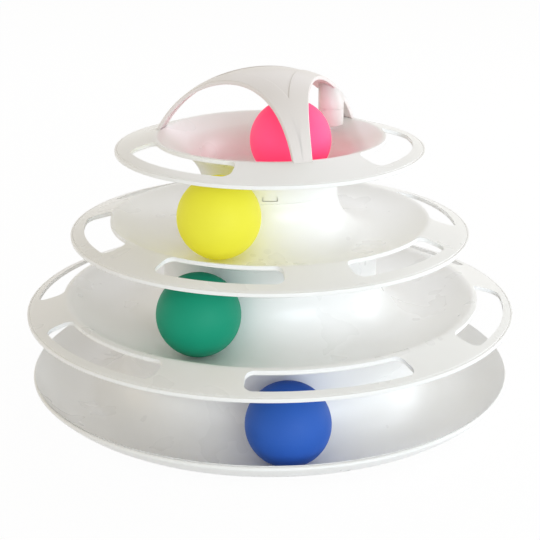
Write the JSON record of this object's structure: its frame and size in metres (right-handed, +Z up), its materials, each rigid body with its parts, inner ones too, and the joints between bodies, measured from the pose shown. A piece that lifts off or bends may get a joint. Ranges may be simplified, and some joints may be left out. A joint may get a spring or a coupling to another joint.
{
  "type": "cat ball track toy",
  "caption": "Round stacked ball-track tower for a cat: slotted plastic tracks on hollow columns, a cup under an arched cover, and a loose coloured ball on each level.",
  "frame": {"origin": "on the floor, under the tower's upright axis, level with the underside of the anti-slip pads", "axes": "+Z up along the tower's axis, -Y towards the viewer of the picture (front), +X to the right"},
  "size_m": [0.2494, 0.2494, 0.1708],
  "materials": {
    "white_plastic": "smooth moulded gloss",
    "pad_rubber": "matte anti-slip",
    "blue_plastic": "satin",
    "green_plastic": "satin",
    "yellow_plastic": "satin",
    "pink_plastic": "satin"
  },
  "bodies": {
    "base": {"base_track": "white_plastic", "foot_pad_front": "pad_rubber", "foot_pad_right": "pad_rubber", "foot_pad_back": "pad_rubber", "foot_pad_left": "pad_rubber"},
    "second_tier": {"second_tier_track": "white_plastic"},
    "third_tier": {"third_tier_track": "white_plastic"},
    "top_bowl": {"top_tray": "white_plastic"},
    "cover": {"dome_cover": "white_plastic", "post_cap": "white_plastic"},
    "blue_ball": {"ball_blue": "blue_plastic"},
    "green_ball": {"ball_green": "green_plastic"},
    "yellow_ball": {"ball_yellow": "yellow_plastic"},
    "pink_ball": {"ball_pink": "pink_plastic"}
  },
  "joints": [
    {"name": "second_tier_lift", "type": "slide", "parent": "base", "child": "second_tier", "axis": [0, 0, 1], "range_m": [0, 0.06]},
    {"name": "third_tier_lift", "type": "slide", "parent": "second_tier", "child": "third_tier", "axis": [0, 0, 1], "range_m": [0, 0.06]},
    {"name": "top_bowl_lift", "type": "slide", "parent": "third_tier", "child": "top_bowl", "axis": [0, 0, 1], "range_m": [0, 0.06]},
    {"name": "cover_lift", "type": "slide", "parent": "top_bowl", "child": "cover", "axis": [0, 0, 1], "range_m": [0, 0.06]},
    {"name": "blue_ball_roll", "type": "hinge", "parent": "base", "child": "blue_ball", "pos_m": [0, 0, 0], "axis": [0, 0, 1], "continuous": true},
    {"name": "green_ball_roll", "type": "hinge", "parent": "second_tier", "child": "green_ball", "pos_m": [0, 0, 0], "axis": [0, 0, 1], "continuous": true},
    {"name": "yellow_ball_roll", "type": "hinge", "parent": "third_tier", "child": "yellow_ball", "pos_m": [0, 0, 0], "axis": [0, 0, 1], "continuous": true},
    {"name": "pink_ball_roll", "type": "hinge", "parent": "top_bowl", "child": "pink_ball", "pos_m": [0, 0, 0], "axis": [0, 0, 1], "range_deg": [-250, 76]}
  ]
}
